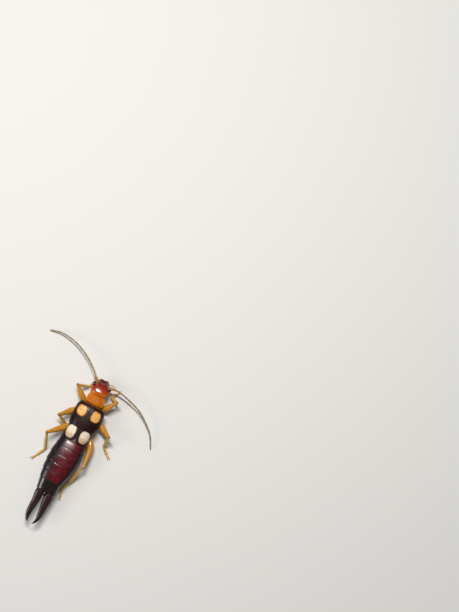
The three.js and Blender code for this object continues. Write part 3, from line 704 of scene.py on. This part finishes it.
def head_place(side, forward, height):
    """A point of the head from its offset to the left, distance forward and height, turned about the
    nape."""
    x = midline(HEAD_REAR) + side * math.cos(HEAD_TURN) + forward * math.sin(HEAD_TURN)
    y = HEAD_REAR - forward * math.cos(HEAD_TURN) + side * math.sin(HEAD_TURN)
    return space(x, y, height)


def head_capsule():
    """Rounded sections from nape to mouth. Small drops and rises of the surface make a short seam and two
    faint arms on the crown, a dip between the feelers, a ring round each feeler's socket and a step down to
    the lip."""
    forward = column((0, 0.05, 10), (0.06, 1.04, 92), (1.05, 1.125, 10))
    angle = turns(144)
    width, top, bottom = sections(HEAD, forward)
    side, height = oval(angle, width * 0.985, top - 0.008, bottom + INSET, 2.4)
    upper = ramp(np.sin(angle), 0.05, 0.4)
    stem = bell(side, 0, 0.02) * (1 - ramp(forward, 0.12, 0.3))
    arms = bell(np.abs(side) - (forward - 0.47) * 1.25, 0, 0.04)
    arms = arms * ramp(forward, 0.45, 0.56) * (1 - ramp(forward, 0.7, 0.82))
    lip_line = bell(forward, 0.99 - 0.1 * side**2, 0.014)
    dip = bell(np.hypot(side, (forward - 0.86) * 1.3), 0, 0.18)
    from_socket = np.hypot(np.abs(side) - 0.5, forward - 0.9)
    drop = 0.009 * stem + 0.006 * arms + 0.012 * lip_line + 0.03 * dip
    drop = drop - 0.022 * bell(from_socket, 0.1, 0.035) + 0.05 * bell(from_socket, 0, 0.06)
    drop = drop + 0.01 * bell(np.hypot(side, (forward - 0.05) * 1.2), 0, 0.14)
    # The nape is drawn a little further back than the solid's, over the neck
    nape = 0.045 * (1 - ramp(forward, 0, 0.25))
    marks = dict(forward=forward / HEAD_LENGTH, seam=np.clip((stem + 0.5 * arms) * upper, 0, 1) * 0.55)
    return grid(head_place(side, forward - nape, height - drop * upper), marks)


def eyes():
    side, forward, height = EYE_CENTRE
    return [ellipsoid(head_place(turn * side, forward, height), EYE_RADII, 36, 48) for turn in SIDES.values()]


def mouth():
    """Upper lip, two jaws that meet under it, and jointed palps, two outer and two inner ones."""
    forward = np.linspace(1.0, 1.315, 26)[:, None]
    side, height = oval(turns(64), *sections(LIP, forward))
    patches = [grid(head_place(side, forward, height))]
    share = np.linspace(0, 1, 24)
    for turn in SIDES.values():
        knots = [head_place(turn * s, f, z) for s, f, z in JAW]
        patches.append(tube(knots, share, profile(JAW_RADIUS, share), 18, {}, flat=0.7)[0])
    share = np.linspace(0, 1, 60)
    joint = sum(bell(share, at, 0.02) for at in PALP_JOINTS)
    radius = profile(PALP_RADIUS, share) * (1 - 0.35 * joint)
    for name, turn in SIDES.items():
        knots = [head_place(*p) for p in PALPS[name]]
        patches.append(tube(knots, share, radius, 16, dict(palp=1.0))[0])
        knots = [head_place(turn * s, f, z) for s, f, z in INNER_PALP]
        patches.append(tube(knots, share[::3], np.full(20, 0.04), 12, dict(palp=INNER_PALP_PALENESS))[0])
    return patches


# Thorax

def pronotum():
    """A thin-edged shield: its disc is arched, its side and rear margins flatten out, and a fine groove
    runs down its middle between two shallow dents. Its underside sinks in the middle to meet the body."""
    y = column((-0.3, -0.25, 12), (-0.235, 0.5, 50), (0.515, 0.62, 16))
    width, top, bottom = sections(PRONOTUM, y)
    across = np.sin(np.linspace(-np.pi / 2, np.pi / 2, 90))[None]
    disc = np.clip(1 - np.abs(across / 0.93) ** 2.8, 0, 1)
    rim_level = 1.3 + 0.04 * np.cos(y * 2.4)
    ends = np.minimum(ramp(y, -0.31, -0.04), 1 - ramp(y, 0.36, 0.63))
    rise = (top - INSET - rim_level) * (0.55 * disc + 0.45 * (1 - across**2))
    upper = rim_level + rise * (0.35 + 0.65 * ends**0.6)
    groove = bell(across * width, 0, 0.014) * ramp(y, -0.25, -0.17) * (1 - ramp(y, 0.25, 0.45))
    dents = bell(np.hypot(np.abs(across * width) - 0.2, y * 1.4), 0, 0.07)
    upper = upper - 0.014 * groove - 0.012 * dents
    edge = 0.035
    lower = np.minimum(upper - edge, rim_level - edge)
    keel = np.clip(1 - np.abs(across / 0.8) ** 3, 0, 1)
    lower = lower - (rim_level - 0.06 - bottom) * keel * ends * 0.6
    x = midline(y) + width * 0.99 * across
    y_drawn = y - 0.035 * (1 - ramp(y, -0.3, -0.1))
    hind = ramp(y + 0.1 * across**2, 0.43, 0.52) * (1 - 0.7 * ramp(y + 0.04 * across**2, 0.595, 0.61))
    marks = dict(margin=ramp(np.abs(across), 0.7, 0.97), hind=hind, seam=0.5 * groove)
    marks = {name: both_faces(value, upper.shape) for name, value in marks.items()}
    return plate(space(x, y_drawn, upper), space(x, y_drawn, lower), marks)


def body_tube(table, rows, cols, crease):
    """A length of trunk through a table of sections, with creases cut into its underside."""
    y = np.linspace(table[0][0], table[-1][0], rows)[:, None]
    angle = turns(cols)
    width, top, bottom = sections(table, y)
    x, z = oval(angle, width - INSET, top - INSET, bottom + INSET)
    below = np.sin(angle) < 0
    cut = crease(x, y, below)
    z = z + 0.03 * cut * below
    x = x * (1 - 0.03 * cut)
    return grid(space(x + midline(y), y, z), dict(seam=np.clip(cut, 0, 1)))


def breast():
    """Neck and breast plates, with seams across between them and lengthwise beside the coxae."""
    def plates(x, y, below):
        return bell(y, 1.02, 0.03) + bell(y, 1.78, 0.03) + bell(np.abs(x), 0.5 + 0.05 * y, 0.025) * below

    def front(x, y, below):
        return bell(y, 0.1, 0.025) + bell(np.abs(x), 0.32, 0.025) * below

    def folds(x, y, below):
        return bell(y, -0.3, 0.02) + bell(y, -0.2, 0.02)

    return [
        body_tube(THORAX, 60, 96, plates), body_tube(PROTHORAX, 36, 72, front),
        body_tube(NECK, 24, 48, folds),
    ]


# Folded wings

def wing(table, turn, rows, cols, thickness, spot, wanted):
    """A wing plate: an arc of an oval between two angles from the midline, with a raised rib near its side
    edge. It bears the wanted marks, and a spot, which is 1 at its middle and below 0 outside."""
    low, high = table[0][0], table[-1][0]
    u = np.linspace(0, 1, rows)
    y = (low + (high - low) * (u + 0.5 * (np.sin(2 * np.pi * u) / (-2 * np.pi))))[:, None]
    width, rise, base, _, start, stop = sections(table, y)
    # The two plates nearly touch along the back, and part only where the solids part by more than their gap
    start = np.maximum(0.35, start - 1.8)
    share = np.linspace(0, 1, cols)[None]
    angle = (start + (stop - start) * share) * DEG

    def face(inset):
        x = (width - inset) * bent_power(np.sin(angle), WING_ARC_POWER)
        z = base + (rise - inset) * bent_power(np.cos(angle), WING_ARC_POWER)
        return x, z

    rib = bell(share, 0.9, 0.03) * ramp(y, low, low + 0.3) * (1 - ramp(y, high - 0.3, high))
    x, z = face(0.012 - 0.012 * rib)
    inner_x, inner_z = face(thickness)
    rim = 0.8 * bell(share, 0.97, 0.025) + 0.15 * bell(share, 0.0, 0.008) + 0.3 * bell(y, high, 0.02)
    marks = dict(
        flank=angle / (np.pi / 2),
        rim=np.clip(rim, 0, 1),
        rear=ramp(y, low + 0.42 * (high - low), low + 0.75 * (high - low)),
    )
    marks = {name: both_faces(marks[name], x.shape) for name in wanted}
    at_y, at_x, half_y, half_x = spot
    along, over = np.abs((y - at_y) / half_y), np.abs((x - at_x) / half_x)
    field = 1 - (along**SPOT_POWER + over**SPOT_POWER) ** (1 / SPOT_POWER)
    marks["spot"] = np.concatenate([field, np.full(field.shape, -1.0)], 1)
    outer = space(midline(y) + turn * x, y, z)
    return plate(outer, space(midline(y) + turn * inner_x, y, inner_z), marks)


# Abdomen and forceps

def ring_sections(number, scales, lip, steps):
    """The sections of one ring, which starts under the ring before it and whose rear lip turns in. Gives
    each one's share of the ring's length, scale, y, half width, middle height and half height, as
    columns."""
    start, stop = SEGMENT_EDGES[number - 1], SEGMENT_EDGES[number]
    share = np.concatenate([np.linspace(scales[0][0], 0, 5)[:-1], np.linspace(0, 1, steps)])
    rows = np.vstack([np.column_stack([share, profile(scales, share)]), lip])
    share, scale = rows[:, :1], rows[:, 1:]
    y = start + (stop - start) * share
    width, top, bottom = sections(ABDOMEN, y)
    return share, scale, y, width, (top + bottom) / 2, (top - bottom) / 2


def abdomen_ring(number):
    """One ring of the abdomen: it widens to its rear edge, which turns in as a thin lip over the next ring.
    Low on each side a fold parts the back plate from the belly plate. The third and fourth rings bear a
    small knob on each side."""
    share, scale, y, width, middle, half = ring_sections(number, RING_SCALE, RING_LIP, 34)
    angle = turns(160)
    from_top = quarters_from(angle, np.pi / 2)
    swell = -0.028 * bell(from_top, 1.2, 0.03) - 0.006 * bell(share, 0.93, 0.03) * (from_top < 1.2)
    if number in (3, 4):
        length = SEGMENT_EDGES[number] - SEGMENT_EDGES[number - 1]
        knob = bell(np.hypot((from_top - 0.62) * 1.5, (share - 0.62) * length), 0, 0.07)
        swell = swell + (0.04 if number == 4 else 0.028) * knob
    size = scale + swell
    x, z = oval(angle, width * size, middle + half * size, middle - half * size)
    # The crimson back is shifted a little to the right of the midline, as a painted glow of light shining
    # through the horn away from the lamp
    band = quarters_from(angle, np.pi / 2 + 0.2)
    # This mark covers the ring's tucked-under front and its lip, which are darkened as painted shade between
    # the rings
    front = np.clip(1 - ramp(share, 0.0, 0.14) + ramp(share, 0.985, 1.0), 0, 1)
    return grid(space(x + midline(y), y, z), dict(flank=from_top, band=band, front=front))


def tail_plate():
    """The last back plate: broad, arched, dented down its middle near the rear, with two low knobs over the
    forceps. Gives the patch and its points."""
    share, scale, y, width, middle, half = ring_sections(TAIL_RING, TAIL_SCALE, TAIL_LIP, 50)
    angle = turns(160)
    x, z = oval(angle, width * scale, middle + half * scale, middle - half * scale)
    upper = ramp(np.sin(angle), 0.1, 0.6)
    dent = 0.03 * bell(x, 0, 0.11) * ramp(share, 0.45, 0.9)
    knobs = 0.03 * bell(np.hypot(np.abs(x) - 0.42, (share - 0.86) * 1.01), 0, 0.11)
    fold = bell(quarters_from(angle, np.pi / 2), 1.2, 0.03)
    z = z + (knobs - dent) * upper - 0.022 * fold * np.sin(angle)
    points = space(x + midline(y), y, z)
    return grid(points), points


def forceps(name):
    """One branch: rounded sections that narrow to a hooked tip. Its inner edge bears a row of low teeth
    that fade out behind the middle. Gives the patch and its points."""
    table = FORCEPS[name]
    turn = SIDES[name]
    u = np.linspace(0, 1, 150)[:, None]
    y = table[0][0] + (table[-1][0] - table[0][0]) * u
    centre, width, height, half = sections(table, y)
    angle = turns(72)
    x, z = oval(angle, width - 0.008, height + half - 0.006, height - half + 0.006, 2.2, 0.5)
    inner = ramp(-turn * np.cos(angle), 0.55, 0.95)
    toothed = ramp(y, 8.8, 8.95) * (1 - ramp(y, 10.2, 10.7))
    teeth = (0.5 + 0.5 * np.cos(2 * np.pi * y / TOOTH_PITCH)) ** 0.7 * toothed
    x = x + turn * inner * TOOTH_DEPTH * (1 - teeth) * toothed
    ridge = 0.012 * bell(angle, np.pi / 2 + turn * 0.5, 0.25) * (1 - ramp(u, 0.5, 0.8))
    points = space(x + centre, y, z + ridge)
    return grid(points, dict(tip=u + 0.5 * inner * (1 - u))), points


# Feelers and legs

def antenna(name):
    """A thread of joints: the scape is a thick club, the pedicel a bead, and each joint of the flagellum
    swells a little towards its far end and is pinched where it meets the next."""
    ends = np.cumsum(ANTENNA_JOINTS) / ANTENNA_JOINTS.sum()
    starts = np.concatenate([[0], ends[:-1]])
    beside = [e + np.array([-0.003, 0, 0.003]) for e in ends[:-1]]
    share = np.unique(np.concatenate([np.linspace(0, 1, 420), *beside]))
    which = np.clip(np.searchsorted(ends, share), 0, len(ends) - 1)
    local = (share - starts[which]) / (ends - starts)[which]
    from_joint = np.min(np.abs(share[:, None] - ends[None, :-1]), axis=1)
    scape_form = 0.72 + 0.28 * np.sin(np.clip(local, 0, 1) * np.pi * 0.62)
    form = np.where(which == 0, scape_form, 0.88 + 0.12 * local)
    radius = profile(ANTENNA_RADIUS, share) * form * (1 - 0.38 * bell(from_joint, 0, 0.0035))
    marks = dict(joint=0.85 * bell(from_joint, 0, 0.006), scape=(which == 0) * 0.9)
    patch, points = tube(ANTENNAE[name], share, radius, 16, marks)
    return [patch, bristles(points, 900, 0.06, 0.55, radius=0.0035)]


def leg(name):
    """Coxa, thigh, shin and three-jointed foot with two hooked claws, as tubes whose radius follows each
    joint."""
    root, hip, bend, knee, ankle, mid, toe = LEGS[name]
    stout = FRONT_THIGH_STOUTNESS if name.startswith("front") else 1.0
    u = np.linspace(0, 1, 30)
    dark = 0.55 * ramp(u, 0.75, 1.0)
    coxa = tube([root, hip], u, profile(COXA_RADIUS, u), 28, dict(joint=dark, lower=0))[0]
    u = np.linspace(0, 1, 70)
    dark = 0.5 * bell(u, 0.09, 0.02) + 0.45 * ramp(u, 0.94, 1.0)
    radius = stout * profile(THIGH_RADIUS, u)
    thigh, thigh_points = tube([hip, bend, knee], u, radius, 28, dict(joint=dark, lower=0))
    dark = 0.4 * bell(u, 0.0, 0.05)
    shin, shin_points = tube([knee, ankle], u, profile(SHIN_RADIUS, u), 24, dict(joint=dark, lower=0.9))
    u = np.linspace(0, 1, 90)
    marks = dict(joint=0.5 * sum(bell(u, at, 0.02) for at in FOOT_JOINTS), lower=1.0)
    foot, foot_points = tube([ankle, mid, toe], u, profile(FOOT_RADIUS, u), 20, marks, flat=0.85)
    ahead = np.subtract(toe, mid) * [1, 1, 0]
    ahead /= np.linalg.norm(ahead)
    across = np.array([-ahead[1], ahead[0], 0])
    u = np.linspace(0, 1, 16)
    claws = []
    for turn in SIDES.values():
        knots = [toe + ahead * on + across * turn * out + [0, 0, up] for on, out, up in CLAW]
        marks = dict(joint=0.8 * ramp(u, 0.2, 0.9), lower=1)
        claws.append(tube(knots, u, profile(CLAW_RADIUS, u), 12, marks)[0])
    hairs = [
        bristles(shin_points, 260, 0.07, 0.6), bristles(foot_points, 260, 0.06, 0.6),
        bristles(thigh_points, 160, 0.06, 0.6),
    ]
    return [coxa, thigh, shin, foot, *claws, *hairs]


# Pieces

piece("head_capsule", [head_capsule()], [head_skin], ["head"])
piece("eyes", eyes(), [eye_glass], ["eye_left", "eye_right"])
piece(
    "mouth_parts", mouth(), [mouth_skin],
    ["labrum", "mandible_left", "mandible_right", "palp_left", "palp_right"],
)
piece("pronotum_shield", [pronotum()], [pronotum_skin], ["pronotum"])
piece("breast_plates", breast(), [underside_skin], ["thorax", "prothorax", "neck"])
for side_name, side_turn in SIDES.items():
    piece(
        f"fore_wing_{side_name}", [wing(TEGMEN, side_turn, 150, 110, 0.09, TEGMEN_SPOT, ("flank", "rim"))],
        [tegmen_leather], [f"tegmen_{side_name}"],
    )
    piece(
        f"hind_wing_tip_{side_name}", [wing(SQUAMA, side_turn, 120, 90, 0.1, SQUAMA_SPOT, ("rear",))],
        [squama_leather], [f"squama_{side_name}"],
    )
RINGS = range(1, TAIL_RING)
piece(
    "abdomen_rings", [abdomen_ring(number) for number in RINGS], [abdomen_skin],
    [f"abdomen_{number}" for number in RINGS],
)
tail, tail_points = tail_plate()
piece(
    "tail_plate", [tail, ellipsoid(PYGIDIUM, PYGIDIUM_RADII, 20, 30), bristles(tail_points, 260, 0.07, 0.7)],
    [tail_skin, hair_horn], ["abdomen_8", "pygidium"],
)
for side_name in SIDES:
    branch, branch_points = forceps(side_name)
    piece(
        f"forceps_branch_{side_name}", [branch, bristles(branch_points, 260, 0.07, 0.7, rows=(6, 110))],
        [forceps_horn, hair_horn], [f"forceps_{side_name}"],
    )
    piece(
        f"antenna_{side_name}_thread", antenna(side_name), [antenna_skin, hair_horn],
        [f"antenna_{side_name}_{part}" for part in ("scape", "inner", "outer")],
    )
for leg_name in LEGS:
    piece(
        f"leg_{leg_name}", leg(leg_name), [leg_horn, hair_horn],
        [f"leg_{leg_name}_{part}" for part in ("coxa", "femur", "tibia", "tarsus")],
    )


# Floor, light and camera

# The photo's image centre, up and right in the insect's own frame, and the height of one picture in mm
PICTURE_CENTRE = np.array([-5.92, -11.96, 1.2])
PICTURE_UP = np.array([0.478, -0.878, 0.0])
PICTURE_RIGHT = np.array([-0.878, -0.478, 0.0])
PICTURE_HEIGHT = 612 * 0.082
CAMERA_DISTANCE = 300.0
SENSOR_MM = 36.0
LAMP_DISTANCE = 120
LAMP_AIM = np.array([0, 3.5, 1.0])
HEADWARDS = np.array([0, -1.0, 0])
FLOOR_HALF_M = 0.4
SKY_STRENGTH = 0.22


def studio_floor():
    """A flat pale board, 0.8 m across, under the feet."""
    h = FLOOR_HALF_M
    mesh = bpy.data.meshes.new("studio_floor")
    mesh.from_pydata([(-h, -h, 0), (h, -h, 0), (h, h, 0), (-h, h, 0)], [], [(0, 1, 2, 3)])
    board = bpy.data.objects.new("studio_floor", mesh)
    bpy.context.scene.collection.objects.link(board)
    material = bpy.data.materials.new("pale_matte_board")
    material.use_nodes = True
    tree = material.node_tree
    tree.nodes.clear()
    # Smooth matte card: hardly any shine, one even pale tone
    inputs = {"Base Color": linear("DDDDDB"), "Roughness": 0.9, "Specular IOR Level": 0.2}
    add(tree, "ShaderNodeOutputMaterial", {0: add(tree, "ShaderNodeBsdfPrincipled", inputs).outputs[0]})
    mesh.materials.append(material)


def aim(obj, place, towards, up):
    """Puts an object at a place, in mm of the insect's frame, looking along -Z at another."""
    back = (place - towards) / np.linalg.norm(place - towards)
    right = np.cross(up, back)
    right /= np.linalg.norm(right)
    turn = Matrix((right, np.cross(back, right), back)).transposed().to_4x4()
    turn.translation = (place + FRAME_SHIFT) * MM
    obj.matrix_world = turn
    bpy.context.scene.collection.objects.link(obj)


def camera():
    data = bpy.data.cameras.new("camera")
    data.sensor_width = SENSOR_MM
    data.lens = SENSOR_MM * CAMERA_DISTANCE / PICTURE_HEIGHT
    data.clip_start, data.clip_end = 0.01, 5.0
    obj = bpy.data.objects.new("camera", data)
    aim(obj, PICTURE_CENTRE + [0, 0, CAMERA_DISTANCE], PICTURE_CENTRE, PICTURE_UP)
    bpy.context.scene.camera = obj


def lamp(name, towards, tilt, size, watts, colour):
    """A rectangular lamp aimed at the insect, tilted by degrees from straight up towards a level
    direction."""
    data = bpy.data.lights.new(name, "AREA")
    data.shape = "RECTANGLE"
    data.size, data.size_y = size[0] * MM, size[1] * MM
    data.energy = watts
    data.color = linear(colour)[:3]
    direction = towards * math.sin(tilt * DEG) + np.array([0, 0, math.cos(tilt * DEG)])
    direction /= np.linalg.norm(direction)
    aim(bpy.data.objects.new(name, data), LAMP_AIM + direction * LAMP_DISTANCE, LAMP_AIM, HEADWARDS)


def lights():
    """A long soft strip from the picture's top, a weaker square lamp low on the picture's left for the
    glints along the abdomen, and a pale sky."""
    lamp("key", PICTURE_UP, 25, (46, 6), 0.13, "FFFBF6")
    lamp("glint", -PICTURE_RIGHT, 52, (44, 44), 0.035, "FFFFFF")
    world = bpy.data.worlds.new("pale_sky")
    world.use_nodes = True
    tree = world.node_tree
    tree.nodes.clear()
    sky = add(tree, "ShaderNodeBackground", {0: linear("E6E8EA"), 1: SKY_STRENGTH})
    add(tree, "ShaderNodeOutputWorld", {0: sky.outputs[0]})
    bpy.context.scene.world = world
    bpy.context.scene.view_settings.view_transform = "Standard"


studio_floor()
camera()
lights()
